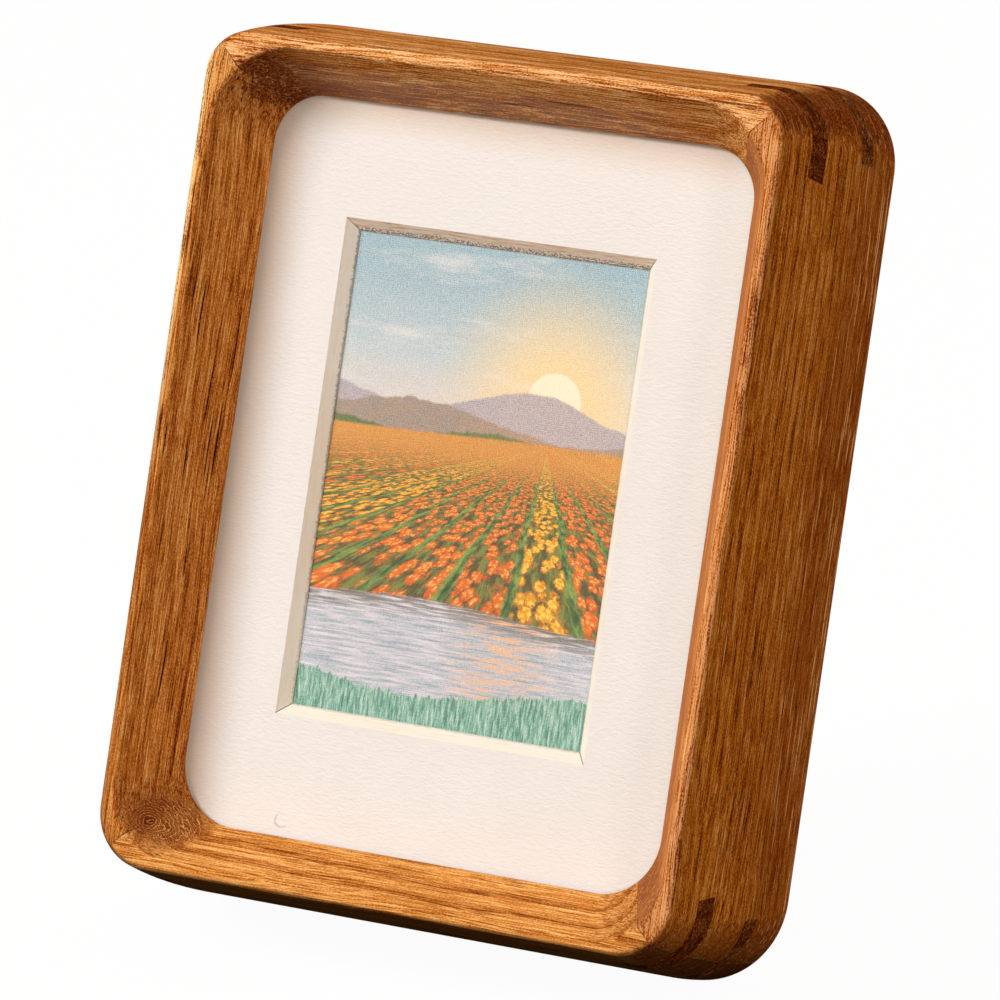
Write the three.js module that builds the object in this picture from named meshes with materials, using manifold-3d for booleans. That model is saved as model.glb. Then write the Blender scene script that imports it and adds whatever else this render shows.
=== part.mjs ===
import * as THREE from "three";
import { mergeVertices } from "three/addons/utils/BufferGeometryUtils.js";
import Module from "manifold-3d";

// A small deep-sided tabletop picture frame in solid wood, in millimetres. Four mitred rails with
// splayed inner walls, two spline keys across each corner, a window mat, and an easel back held by
// turn buttons. It is drawn lying on its back: X across, Y up the frame, Z out of its front, with
// Z = 0 on the back face and the origin behind its middle. The last lines stand it up, leaning
// back on its strut, with +Z up and its front towards -Y.

// Outside of the wooden ring
const WIDTH = 120; // across the back, its widest outline
const HEIGHT = 155.4;
const DEPTH = 38.2; // back face to front band
const TAPER = 4.7; // how far each outer side draws in from back to front
const CROWN = 1; // swell of an outer side at half its depth
const CORNER_TOP = 7.6; // outer corner radius at the front, upper corners
const CORNER_BOTTOM = 9.8; // the same, lower corners
const CORNER_GROWTH = 6.2; // how much both grow towards the back
const BACK_ARRIS = 1.1;
const FRONT_ARRIS = 0.75;

// Front band and splayed inner wall
const BAND = 1.95; // width of the flat front band
const BAND_CORNER_TOP = 14.5; // radius of the band's inner edge, upper corners
const BAND_CORNER_BOTTOM = 12.5;
const INNER_ARRIS = 0.6;
const SPLAY = 6.9; // run of the inner wall, seen from the front
const WALL_DEPTH = 12.2; // front band to rebate floor
const SIGHT_LAND = 0.5; // square edge left where the wall meets the rebate
const SIGHT_CORNER_TOP = 9;
const SIGHT_CORNER_BOTTOM = 11;

// Rebate at the back
const REBATE_WALL = 9.8; // thickness of the rail's back face
const REBATE_CORNER = 5;

// Joinery
const MITRE_GAP = 0.2;
const FRONT_KEY = 4.7; // thickness
const FRONT_KEY_BITE = 14; // depth of its slot, square to the corner's mitre
const FRONT_KEY_MIDDLE = 10.9; // below the front band
const BACK_KEY = 3.9;
const BACK_KEY_BITE = 9.6;
const BACK_KEY_MIDDLE = 11.5; // above the back face
const LOWER_FRONT_KEY_FORWARD = 1.1; // how much nearer the front the lower corners' keys sit
const LOWER_BACK_KEY_FORWARD = 1.7;
const LOWER_FRONT_KEY_BITE = 13.3;
const KEY_GAP = 0.12;

// What lies in the rebate, from the front to the back
const FIT = 0.3; // clearance of a board's edge in the rebate
const LAY = 0.15; // clearance between boards that lie on each other
const GLAZING = 0.5;
const MAT = 2;
const PRINT = 0.3;
const CARD = 1.5;
const BACKING = 3;
const BACKING_RECESS = 0.35; // how far the backing lies below the back face
const SPACER_WIDTH = 5;

// Print and the mat's bevelled window
const PRINT_WIDTH = 64;
const PRINT_HEIGHT = 89;
const PRINT_LAP_SIDE = 3.95; // how far the mat covers the print's long edges
const PRINT_LAP_END = 3;
const WINDOW_RISE = 0.35; // the window sits this much above the mat's middle
const WINDOW_SHIFT = -0.6; // and this much to the right of it

// Turn buttons and their screws
const BUTTON_THICKNESS = 1.5;
const BUTTON_REACH = 12.6; // screw to the middle of the button's tip
const BUTTON_ROUND = 3.8;
const BUTTON_TIP = 2.8;
const BUTTON_SPREAD = 76; // height between the upper and lower buttons
const BUTTON_PLAY = 0.2; // running gap of a button on its screw and on the rail
const SCREW_RADIUS = 1.3;
const SCREW_LENGTH = 9; // in the rail
const SCREW_HEAD = 2.9;
const SCREW_HEAD_HEIGHT = 1.5;
const SCREW_SLOT = 0.7;

// Easel strut and its hinge
const LEAN = THREE.MathUtils.degToRad(18); // the frame's lean from upright
const OPEN = THREE.MathUtils.degToRad(30); // strut to back face when it stands open
const HINGE_RISE = 30; // hinge pin above the frame's middle
const STRUT_THICKNESS = 3;
const STRUT_TOP_WIDTH = 20;
const STRUT_FOOT_WIDTH = 36;
const STRUT_CORNER = 3;
const STRUT_START = 3.2; // hinge pin to the strut's upper end
const SHEET = 0.8; // thickness of the hinge's sheet steel
const PIN_RADIUS = 1;
const PIN_PLAY = 0.1;
const PIN_HEAD = 1.9;
const PIN_HEAD_THICKNESS = 0.8;
const PIN_STANDOFF = 2.6; // pin centre to the bracket's plate
const EAR_RADIUS = 2.2;
const EAR_PLAY = 0.25; // side play between the leaf's ears and the bracket's ears
const BRACKET_ABOVE = 15; // bracket plate above the pin
const BRACKET_BELOW = 5;
const LEAF_LENGTH = 17; // leaf plate below the pin
const STOP_GAP = 0.2; // leaf's tail to the bracket it stops on
const RIVET_RADIUS = 1.2;
const RIVET_HEAD = 2;
const RIVET_HEAD_HEIGHT = 0.8;
const RIVET_GAP = 0.12;
const RIVET_SPREAD = 11; // between the two rivets of a leaf or bracket

// Fineness of round forms
const CORNER_STEPS = 12;
const SIDE_STEPS = 6;
const ARRIS_STEPS = 3;
const ROUND_STEPS = 28;

const wasm = await Module();
wasm.setup();

const wood = new THREE.MeshStandardMaterial({ color: 0xa8672c, roughness: 0.55 });
const darkWood = new THREE.MeshStandardMaterial({ color: 0x5a3014, roughness: 0.6 });
const paleWood = new THREE.MeshStandardMaterial({ color: 0xc9a877, roughness: 0.7 });
const clear = new THREE.MeshStandardMaterial({
  color: 0xffffff,
  roughness: 0.05,
  transparent: true,
  opacity: 0.12,
});
const matBoard = new THREE.MeshStandardMaterial({ color: 0xefe6dc, roughness: 0.95 });
const printPaper = new THREE.MeshStandardMaterial({ color: 0xe39a3c, roughness: 0.5 });
const greyCard = new THREE.MeshStandardMaterial({ color: 0x9b948a, roughness: 0.95 });
const hardboard = new THREE.MeshStandardMaterial({ color: 0x4f3a28, roughness: 0.85 });
const brass = new THREE.MeshStandardMaterial({ color: 0xc49a4a, roughness: 0.35, metalness: 1 });
const steel = new THREE.MeshStandardMaterial({ color: 0xb9bcc0, roughness: 0.3, metalness: 1 });

// --- Booleans ---------------------------------------------------------------------------------

function toSolid(geometry) {
  const bare = geometry.clone();
  bare.deleteAttribute("normal");
  bare.deleteAttribute("uv");
  const merged = mergeVertices(bare);
  return new wasm.Manifold(
    new wasm.Mesh({
      numProp: 3,
      vertProperties: new Float32Array(merged.attributes.position.array),
      triVerts: new Uint32Array(merged.index.array),
    }),
  );
}

function toGeometry(solid) {
  const mesh = solid.getMesh();
  const geometry = new THREE.BufferGeometry();
  geometry.setAttribute("position", new THREE.BufferAttribute(mesh.vertProperties, 3));
  geometry.setIndex(new THREE.BufferAttribute(mesh.triVerts, 1));
  geometry.computeVertexNormals();
  return geometry;
}

const cut = (body, ...tools) =>
  toGeometry(tools.reduce((left, tool) => left.subtract(toSolid(tool)), toSolid(body)));

const join = (first, ...others) =>
  toGeometry(others.reduce((sum, other) => sum.add(toSolid(other)), toSolid(first)));

// --- Plane shapes and plates ------------------------------------------------------------------

function roundedRectangle(width, height, radius, middle = 0) {
  const x = width / 2 - radius;
  const y = height / 2 - radius;
  const shape = new THREE.Shape();
  shape.absarc(x, middle + y, radius, 0, Math.PI / 2);
  shape.absarc(-x, middle + y, radius, Math.PI / 2, Math.PI);
  shape.absarc(-x, middle - y, radius, Math.PI, 1.5 * Math.PI);
  shape.absarc(x, middle - y, radius, 1.5 * Math.PI, 2 * Math.PI);
  shape.closePath();
  return shape;
}

function roundHole(shape, x, y, radius) {
  shape.holes.push(new THREE.Path().absarc(x, y, radius, 0, 2 * Math.PI, true));
}

// A plate of the given outline between two heights above the back face.
function plate(shape, low, high, curveSegments = 8) {
  const geometry = new THREE.ExtrudeGeometry(shape, {
    depth: high - low,
    bevelEnabled: false,
    curveSegments,
  });
  return geometry.translate(0, 0, low);
}

// A turned piece about Z, from [radius, height] pairs listed from the lowest to the highest.
function turned(profile) {
  const points = profile.map(([radius, height]) => new THREE.Vector2(radius, height));
  return new THREE.LatheGeometry(points, ROUND_STEPS).rotateX(Math.PI / 2);
}

function bar(radius, low, high) {
  return turned([
    [0, low],
    [radius, low],
    [radius, high],
    [0, high],
  ]);
}

// --- Wooden ring ------------------------------------------------------------------------------

// The ring's section is a loop of stations. Each is a rounded outline of the whole frame: its
// inset from the widest outline, its height, and its radii at the upper and lower corners.
const station = (inset, z, top, bottom) => ({ inset, z, top, bottom });

const rebateFloor = DEPTH - WALL_DEPTH;
const bandInset = TAPER + BAND;
const sightInset = bandInset + SPLAY;
const backOuter = station(0, 0, CORNER_TOP + CORNER_GROWTH, CORNER_BOTTOM + CORNER_GROWTH);
const frontOuter = station(TAPER, DEPTH, CORNER_TOP, CORNER_BOTTOM);
const frontInner = station(bandInset, DEPTH, BAND_CORNER_TOP, BAND_CORNER_BOTTOM);
const wallFoot = station(
  sightInset,
  rebateFloor + SIGHT_LAND,
  SIGHT_CORNER_TOP,
  SIGHT_CORNER_BOTTOM,
);
const sightEdge = { ...wallFoot, z: rebateFloor };
const rebateInner = station(REBATE_WALL, rebateFloor, REBATE_CORNER, REBATE_CORNER);
const rebateBack = { ...rebateInner, z: 0 };

const blend = (a, b, share) =>
  station(
    ...["inset", "z", "top", "bottom"].map((key) => THREE.MathUtils.lerp(a[key], b[key], share)),
  );

const towards = (a, b, distance) =>
  blend(a, b, distance / Math.hypot(b.inset - a.inset, b.z - a.z));

const steps = (count) => Array.from({ length: count + 1 }, (_, index) => index / count);

// The rounded arris at a corner of the section, between its two neighbours.
function arris(before, corner, after, size) {
  const start = towards(corner, before, size);
  const end = towards(corner, after, size);
  return steps(ARRIS_STEPS).map((share) =>
    blend(blend(start, corner, share), blend(corner, end, share), share),
  );
}

// An outer side swells out between its two arrises.
function crowned(side) {
  const share = side.z / DEPTH;
  return { ...side, inset: side.inset - 4 * CROWN * share * (1 - share) };
}

const outerSide = [
  ...arris(rebateBack, backOuter, frontOuter, BACK_ARRIS),
  ...steps(SIDE_STEPS)
    .slice(1, -1)
    .map((share) => blend(backOuter, frontOuter, share)),
  ...arris(backOuter, frontOuter, frontInner, FRONT_ARRIS),
].map(crowned);

const section = [
  ...outerSide,
  ...arris(frontOuter, frontInner, wallFoot, INNER_ARRIS),
  wallFoot,
  sightEdge,
  rebateInner,
  rebateBack,
];

// One station's outline, anticlockwise seen from the front.
function outline({ inset, z, top, bottom }) {
  const x = WIDTH / 2 - inset;
  const y = HEIGHT / 2 - inset;
  const corners = [
    [x - top, y - top, top],
    [top - x, y - top, top],
    [bottom - x, bottom - y, bottom],
    [x - bottom, bottom - y, bottom],
  ];
  return corners.flatMap(([cx, cy, radius], quarter) =>
    steps(CORNER_STEPS).map((share) => {
      const angle = ((quarter + share) * Math.PI) / 2;
      return [cx + radius * Math.cos(angle), cy + radius * Math.sin(angle), z];
    }),
  );
}

// Skins a row of stations. A closed loop of them is a ring; an open row is capped at both ends.
function loft(stations, closed) {
  const rows = stations.map(outline);
  const count = rows[0].length;
  const points = rows.flat();
  const faces = [];
  rows.forEach((_, row) => {
    const next = (row + 1) % rows.length;
    if (!next && !closed) return;
    for (let i = 0; i < count; i++) {
      const j = (i + 1) % count;
      const [a, b] = [row * count + i, row * count + j];
      const [c, d] = [next * count + j, next * count + i];
      faces.push(a, b, c, a, c, d);
    }
  });
  if (!closed) {
    const last = (rows.length - 1) * count;
    points.push([0, 0, rows[0][0][2]], [0, 0, rows[rows.length - 1][0][2]]);
    for (let i = 0; i < count; i++) {
      const j = (i + 1) % count;
      faces.push(points.length - 2, j, i, points.length - 1, last + i, last + j);
    }
  }
  const geometry = new THREE.BufferGeometry();
  geometry.setAttribute("position", new THREE.Float32BufferAttribute(points.flat(), 3));
  return geometry.setIndex(faces);
}

const ring = toSolid(loft(section, true));
const envelope = toSolid(loft(outerSide, false));

const corners = [
  ["top_right", 1, 1],
  ["top_left", -1, 1],
  ["bottom_left", -1, -1],
  ["bottom_right", 1, -1],
];

// The front and the back key of an upper or a lower corner.
function keyKinds(sideY) {
  const lower = sideY < 0;
  return [
    {
      level: "front",
      thickness: FRONT_KEY,
      bite: lower ? LOWER_FRONT_KEY_BITE : FRONT_KEY_BITE,
      middle: DEPTH - FRONT_KEY_MIDDLE + (lower ? LOWER_FRONT_KEY_FORWARD : 0),
    },
    {
      level: "back",
      thickness: BACK_KEY,
      bite: BACK_KEY_BITE,
      middle: BACK_KEY_MIDDLE + (lower ? LOWER_BACK_KEY_FORWARD : 0),
    },
  ];
}

// The block that a corner's key or its slot fills, grown all round by a margin.
function keyBlock(sideX, sideY, { thickness, bite, middle }, margin) {
  const length = 4 * bite;
  const block = new THREE.BoxGeometry(length, length, thickness + 2 * margin);
  block.translate(length / 2 - bite - margin, 0, 0);
  block.rotateZ(Math.atan2(sideY, sideX));
  return block.translate((sideX * WIDTH) / 2, (sideY * HEIGHT) / 2, middle);
}

const keySlots = corners.flatMap(([, sideX, sideY]) =>
  keyKinds(sideY).map((kind) => keyBlock(sideX, sideY, kind, KEY_GAP)),
);
const slottedRing = keySlots.reduce((left, slot) => left.subtract(toSolid(slot)), ring);

// The mitred length of the ring that one rail is, turned from the top side by quarter turns.
function mitreBlock(quarter) {
  const upright = quarter % 2 === 1;
  const along = (upright ? HEIGHT : WIDTH) / 2;
  const out = (upright ? WIDTH : HEIGHT) / 2;
  const gap = MITRE_GAP / Math.SQRT2;
  const beyond = 2 * CROWN + 1;
  const inside = sightInset + Math.max(...section.map(({ top, bottom }) => Math.max(top, bottom)));
  const shape = new THREE.Shape([
    new THREE.Vector2(along + beyond - gap, out + beyond),
    new THREE.Vector2(gap - along - beyond, out + beyond),
    new THREE.Vector2(inside + gap - along, out - inside),
    new THREE.Vector2(along - inside - gap, out - inside),
  ]);
  return plate(shape, -1, DEPTH + 1).rotateZ((quarter * Math.PI) / 2);
}

const buttonX = WIDTH / 2 - REBATE_WALL / 2;
const buttonPlaces = [
  ["upper_left", -buttonX, BUTTON_SPREAD / 2],
  ["upper_right", buttonX, BUTTON_SPREAD / 2],
  ["lower_left", -buttonX, -BUTTON_SPREAD / 2],
  ["lower_right", buttonX, -BUTTON_SPREAD / 2],
];
const pilotHoles = buttonPlaces.map(([, x, y]) =>
  bar(SCREW_RADIUS + BUTTON_PLAY / 2, -1, SCREW_LENGTH + 1).translate(x, y, 0),
);

function rail(quarter) {
  const length = slottedRing.intersect(toSolid(mitreBlock(quarter)));
  return toGeometry(
    pilotHoles.reduce((left, hole) => left.subtract(toSolid(hole)), length),
  );
}

const key = (sideX, sideY, kind) =>
  toGeometry(envelope.intersect(toSolid(keyBlock(sideX, sideY, kind, 0))));

// --- Boards in the rebate ---------------------------------------------------------------------

const boardWidth = WIDTH - 2 * (REBATE_WALL + FIT);
const boardHeight = HEIGHT - 2 * (REBATE_WALL + FIT);
const boardShape = () => roundedRectangle(boardWidth, boardHeight, REBATE_CORNER - FIT);

// Each board's lower and upper face, worked out from the rebate floor towards the back.
const glazingTop = rebateFloor - LAY;
const matTop = glazingTop - GLAZING - LAY;
const matBack = matTop - MAT;
const printTop = matBack - LAY;
const cardTop = printTop - PRINT - LAY;
const cardBack = cardTop - CARD;
const backingTop = BACKING_RECESS + BACKING;

// The mat, with a window whose edges are bevelled at 45 degrees through its thickness.
function mat() {
  const width = PRINT_WIDTH - 2 * PRINT_LAP_SIDE;
  const height = PRINT_HEIGHT - 2 * PRINT_LAP_END;
  const bevel = new THREE.CylinderGeometry(Math.SQRT1_2, Math.SQRT1_2, 1, 4, 1);
  const over = 1; // the cutting block runs this far past both faces
  bevel.rotateY(Math.PI / 4).rotateX(Math.PI / 2);
  const position = bevel.attributes.position;
  for (let i = 0; i < position.count; i++) {
    const front = position.getZ(i) > 0;
    const grow = front ? 2 * (MAT + over) : -2 * over;
    position.setXYZ(
      i,
      position.getX(i) * (width + grow) + WINDOW_SHIFT,
      position.getY(i) * (height + grow) + WINDOW_RISE,
      front ? matTop + over : matBack - over,
    );
  }
  return cut(plate(boardShape(), matBack, matTop), bevel);
}

// Four strips keep the backing off the card. They stop short of the rebate's round corners.
const spacerLow = backingTop + LAY;
const spacerHigh = cardBack - LAY;
function spacer(quarter) {
  const upright = quarter % 2 === 1;
  const length = (upright ? boardHeight : boardWidth) - 2 * (REBATE_CORNER + SPACER_WIDTH / 2);
  const out = (upright ? boardWidth : boardHeight) / 2 - SPACER_WIDTH / 2;
  const strip = plate(roundedRectangle(length, SPACER_WIDTH, 0.5), spacerLow, spacerHigh, 3);
  return strip.translate(0, out, 0).rotateZ((quarter * Math.PI) / 2);
}

function backing() {
  const shape = boardShape();
  for (const side of [-1, 1]) {
    roundHole(shape, (side * RIVET_SPREAD) / 2, bracketRivetY, RIVET_RADIUS + RIVET_GAP);
  }
  return plate(shape, BACKING_RECESS, backingTop);
}

// --- Turn buttons -----------------------------------------------------------------------------

// A button's outline about its screw, pointing along +X: two arcs and the lines that touch both.
function button() {
  const tangent = Math.acos((BUTTON_ROUND - BUTTON_TIP) / BUTTON_REACH);
  const shape = new THREE.Shape();
  shape.absarc(0, 0, BUTTON_ROUND, tangent, 2 * Math.PI - tangent);
  shape.absarc(BUTTON_REACH, 0, BUTTON_TIP, -tangent, tangent);
  shape.closePath();
  roundHole(shape, 0, 0, SCREW_RADIUS + BUTTON_PLAY);
  return plate(shape, -BUTTON_PLAY - BUTTON_THICKNESS, -BUTTON_PLAY, 10);
}

function screw() {
  const seat = -2 * BUTTON_PLAY - BUTTON_THICKNESS;
  const crown = seat - SCREW_HEAD_HEIGHT;
  const blank = turned([
    [0, crown],
    [SCREW_HEAD * 0.55, crown + SCREW_HEAD_HEIGHT * 0.12],
    [SCREW_HEAD * 0.88, crown + SCREW_HEAD_HEIGHT * 0.45],
    [SCREW_HEAD, seat],
    [SCREW_RADIUS, seat],
    [SCREW_RADIUS, SCREW_LENGTH - 2 * SCREW_RADIUS],
    [0, SCREW_LENGTH],
  ]);
  const slot = new THREE.BoxGeometry(3 * SCREW_HEAD, SCREW_SLOT, SCREW_HEAD_HEIGHT);
  return cut(blank, slot.translate(0, 0, crown));
}

// --- Easel hinge, drawn about its pin ---------------------------------------------------------

// The bracket's plate lies on the backing; the leaf's plate lies on the strut's outer face.
const backingFace = BACKING_RECESS;
const pinZ = backingFace - LAY - SHEET - PIN_STANDOFF;
const pinY = HINGE_RISE;
const leafFace = -STRUT_THICKNESS / 2 - LAY; // the leaf's inner face, from the pin
const leafWidth = STRUT_TOP_WIDTH + 2 * (SHEET + LAY);
const bracketWidth = leafWidth + 2 * (EAR_PLAY + SHEET);
const bracketRivetY = pinY + BRACKET_ABOVE - RIVET_HEAD - 1.5;
const leafRivetY = RIVET_HEAD + 1.5 - LEAF_LENGTH;

// An ear stands on edge: a tongue from its plate's inner face with a round end about the pin.
function ear(plateFace, x) {
  const reach = Math.abs(plateFace);
  const shape = new THREE.Shape();
  shape.moveTo(-EAR_RADIUS, 0);
  shape.absarc(0, 0, EAR_RADIUS, Math.PI, 0, false);
  shape.lineTo(EAR_RADIUS, reach + SHEET / 2);
  shape.lineTo(-EAR_RADIUS, reach + SHEET / 2);
  shape.closePath();
  roundHole(shape, 0, 0, PIN_RADIUS + PIN_PLAY);
  const geometry = plate(shape, -SHEET / 2, SHEET / 2, 10);
  geometry.rotateY(Math.PI / 2).rotateX(plateFace > 0 ? Math.PI / 2 : -Math.PI / 2);
  return geometry.translate(x, 0, 0);
}

// A sheet plate between two heights along the hinge, with its rivet holes and its two ears.
function hingeSheet({ width, low, high, face, rivetY }) {
  const shape = roundedRectangle(width, high - low, 1.2, (high + low) / 2);
  for (const side of [-1, 1]) {
    roundHole(shape, (side * RIVET_SPREAD) / 2, rivetY, RIVET_RADIUS + RIVET_GAP);
  }
  const flat = face > 0 ? plate(shape, face, face + SHEET) : plate(shape, face - SHEET, face);
  const earX = (width - SHEET) / 2;
  return join(flat, ear(face, -earX), ear(face, earX));
}

const bracket = () =>
  hingeSheet({
    width: bracketWidth,
    low: -BRACKET_BELOW,
    high: BRACKET_ABOVE,
    face: PIN_STANDOFF,
    rivetY: bracketRivetY - pinY,
  });

// The leaf runs on past the pin as a tail. When the strut is open its edge meets the bracket.
const tail = (PIN_STANDOFF - STOP_GAP - leafFace * Math.cos(OPEN)) / Math.sin(OPEN);
const leaf = () =>
  hingeSheet({
    width: leafWidth,
    low: -LEAF_LENGTH,
    high: tail,
    face: leafFace,
    rivetY: leafRivetY,
  });

function pin() {
  const half = bracketWidth / 2 + EAR_PLAY;
  const profile = [
    [0, -half - PIN_HEAD_THICKNESS],
    [PIN_HEAD, -half - PIN_HEAD_THICKNESS],
    [PIN_HEAD, -half],
    [PIN_RADIUS, -half],
    [PIN_RADIUS, half],
    [PIN_HEAD, half],
    [PIN_HEAD, half + PIN_HEAD_THICKNESS],
    [0, half + PIN_HEAD_THICKNESS],
  ];
  return turned(profile).rotateY(Math.PI / 2);
}

// A rivet between two outer faces: a low domed head below, a flat turned-over end above.
function rivet(low, high) {
  const under = low - RIVET_GAP;
  const over = high + RIVET_GAP;
  return turned([
    [0, under - RIVET_HEAD_HEIGHT],
    [RIVET_HEAD * 0.6, under - RIVET_HEAD_HEIGHT * 0.8],
    [RIVET_HEAD, under],
    [RIVET_RADIUS, under],
    [RIVET_RADIUS, over],
    [RIVET_HEAD * 0.9, over],
    [RIVET_HEAD * 0.9, over + RIVET_HEAD_HEIGHT / 2],
    [0, over + RIVET_HEAD_HEIGHT / 2],
  ]);
}

// --- Easel strut ------------------------------------------------------------------------------

// How far the frame's lowest arris lies below the origin, measured down the upright.
const standDrop = Math.max(
  ...section.map(({ inset, z }) => (HEIGHT / 2 - inset) * Math.cos(LEAN) - z * Math.sin(LEAN)),
);
// Height of the pin over the table, and the strut's own lean from upright when it is open.
const pinHeight = standDrop + pinY * Math.cos(LEAN) + pinZ * Math.sin(LEAN);
const strutLean = OPEN - LEAN;
const strutEnd =
  (pinHeight + (STRUT_THICKNESS / 2) * Math.sin(strutLean)) / Math.cos(strutLean);

// A tapered board whose foot is cut to lie flat on the table when the strut is open.
function strut() {
  const top = STRUT_TOP_WIDTH / 2;
  const foot = STRUT_FOOT_WIDTH / 2;
  const shape = new THREE.Shape();
  shape.moveTo(-top, -STRUT_START);
  shape.lineTo(-foot, STRUT_CORNER - strutEnd);
  shape.quadraticCurveTo(-foot, -strutEnd, STRUT_CORNER - foot, -strutEnd);
  shape.lineTo(foot - STRUT_CORNER, -strutEnd);
  shape.quadraticCurveTo(foot, -strutEnd, foot, STRUT_CORNER - strutEnd);
  shape.lineTo(top, -STRUT_START);
  shape.closePath();
  for (const side of [-1, 1]) {
    roundHole(shape, (side * RIVET_SPREAD) / 2, leafRivetY, RIVET_RADIUS + RIVET_GAP);
  }
  const board = plate(shape, -STRUT_THICKNESS / 2, STRUT_THICKNESS / 2);
  // Everything below the table, as the strut sees it.
  const below = new THREE.BoxGeometry(2 * STRUT_FOOT_WIDTH, STRUT_FOOT_WIDTH, 2 * pinHeight);
  below.translate(0, -pinHeight - STRUT_FOOT_WIDTH / 2, 0).rotateX(-strutLean);
  return cut(board, below);
}

// --- Assembly ---------------------------------------------------------------------------------

const assembly = new THREE.Group();
const hinge = new THREE.Group();
hinge.position.set(0, pinY, pinZ);
const swing = new THREE.Group();
swing.rotation.x = OPEN;
hinge.add(swing);
assembly.add(hinge);

function add(parent, name, geometry, material) {
  const mesh = new THREE.Mesh(geometry, material);
  mesh.name = name;
  parent.add(mesh);
  return mesh;
}

["top", "left", "bottom", "right"].forEach((side, quarter) => {
  add(assembly, `rail_${side}`, rail(quarter), wood);
  add(assembly, `spacer_${side}`, spacer(quarter), paleWood);
});
for (const [corner, sideX, sideY] of corners) {
  for (const kind of keyKinds(sideY)) {
    add(assembly, `key_${corner}_${kind.level}`, key(sideX, sideY, kind), darkWood);
  }
}

add(assembly, "glazing", plate(boardShape(), glazingTop - GLAZING, glazingTop), clear);
add(assembly, "mat_board", mat(), matBoard);
const printShape = roundedRectangle(PRINT_WIDTH, PRINT_HEIGHT, 1, WINDOW_RISE);
const print = plate(printShape, printTop - PRINT, printTop, 3).translate(WINDOW_SHIFT, 0, 0);
add(assembly, "photo_print", print, printPaper);
add(assembly, "filler_card", plate(boardShape(), cardBack, cardTop), greyCard);
add(assembly, "backing_board", backing(), hardboard);

for (const [place, x, y] of buttonPlaces) {
  const turn = add(assembly, `turn_button_${place}`, button(), brass);
  turn.position.set(x, y, 0);
  turn.rotation.z = x > 0 ? Math.PI : 0;
  add(assembly, `button_screw_${place}`, screw(), steel).position.set(x, y, 0);
}

add(hinge, "hinge_bracket", bracket(), brass);
add(hinge, "hinge_pin", pin(), steel);
add(swing, "hinge_leaf", leaf(), brass);
add(swing, "easel_strut", strut(), hardboard);
for (const [side, sign] of [
  ["left", -1],
  ["right", 1],
]) {
  const x = (sign * RIVET_SPREAD) / 2;
  const onBacking = rivet(PIN_STANDOFF, backingTop - pinZ);
  const onStrut = rivet(leafFace - SHEET, STRUT_THICKNESS / 2);
  add(hinge, `bracket_rivet_${side}`, onBacking, steel).position.set(x, bracketRivetY - pinY, 0);
  add(swing, `leaf_rivet_${side}`, onStrut, steel).position.set(x, leafRivetY, 0);
}

// Stand the frame up, leaning back, and set it on the table with the origin under its middle.
assembly.rotation.x = Math.PI / 2 - LEAN;
const root = new THREE.Group();
root.add(assembly);
root.updateMatrixWorld(true);
const bounds = new THREE.Box3().setFromObject(root, true);
const middle = bounds.getCenter(new THREE.Vector3());
assembly.position.set(-middle.x, -middle.y, -bounds.min.z);

export default root;
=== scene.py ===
import math

import bmesh
import bpy
from mathutils import Matrix, Vector


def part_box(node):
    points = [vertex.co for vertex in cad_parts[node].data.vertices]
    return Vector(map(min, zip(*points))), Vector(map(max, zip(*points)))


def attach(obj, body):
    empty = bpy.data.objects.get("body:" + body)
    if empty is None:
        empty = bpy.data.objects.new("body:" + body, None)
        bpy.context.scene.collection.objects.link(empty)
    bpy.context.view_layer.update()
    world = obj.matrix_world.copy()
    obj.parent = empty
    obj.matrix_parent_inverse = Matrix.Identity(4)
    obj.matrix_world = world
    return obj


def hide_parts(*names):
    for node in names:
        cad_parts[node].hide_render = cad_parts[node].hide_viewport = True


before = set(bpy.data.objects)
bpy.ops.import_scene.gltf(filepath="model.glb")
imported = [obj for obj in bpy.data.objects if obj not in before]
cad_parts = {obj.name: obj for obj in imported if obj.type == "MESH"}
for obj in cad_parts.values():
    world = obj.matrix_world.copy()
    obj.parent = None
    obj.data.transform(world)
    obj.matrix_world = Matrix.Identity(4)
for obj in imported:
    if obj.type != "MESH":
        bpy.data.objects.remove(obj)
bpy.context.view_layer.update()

# A small tabletop picture frame: four mitred wooden rails with dark spline keys, a window mat over
# a print, and an easel back. The wooden pieces are lofted here more finely than in the CAD model,
# from the same sizes; the other pieces are the CAD nodes with bevels and materials.

MM = 0.001

# --- Sizes of the wooden ring, in millimetres, as in the CAD model ------------------------------

WIDTH, HEIGHT, DEPTH = 120, 155.4, 38.2
TAPER, CROWN = 4.7, 1
CORNER_TOP, CORNER_BOTTOM, CORNER_GROWTH = 7.6, 9.8, 6.2
BACK_ARRIS, FRONT_ARRIS, INNER_ARRIS = 1.1, 0.75, 0.6
BAND, BAND_CORNER_TOP, BAND_CORNER_BOTTOM = 1.95, 14.5, 12.5
SPLAY, WALL_DEPTH, SIGHT_LAND = 6.9, 12.2, 0.5
SIGHT_CORNER_TOP, SIGHT_CORNER_BOTTOM = 9, 11
REBATE_WALL, REBATE_CORNER = 9.8, 5
LEAN = math.radians(18)
# Of each kind of key: its thickness, and for the upper and the lower corners how far it bites in
# and at what height its middle lies.
KEYS = {
    "front": (4.7, (14, DEPTH - 10.9), (13.3, DEPTH - 9.8)),
    "back": (3.9, (9.6, 11.5), (9.6, 13.2)),
}
# The joints are closer here than the model's working clearances, as glue leaves them.
MITRE_GAP = 0.05
KEY_GAP = 0.02
# From the back's outline in to the band's inner edge and to the walls' foot, and how high that is
band_inset = TAPER + BAND
sight_inset = band_inset + SPLAY
rebate_floor = DEPTH - WALL_DEPTH

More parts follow.
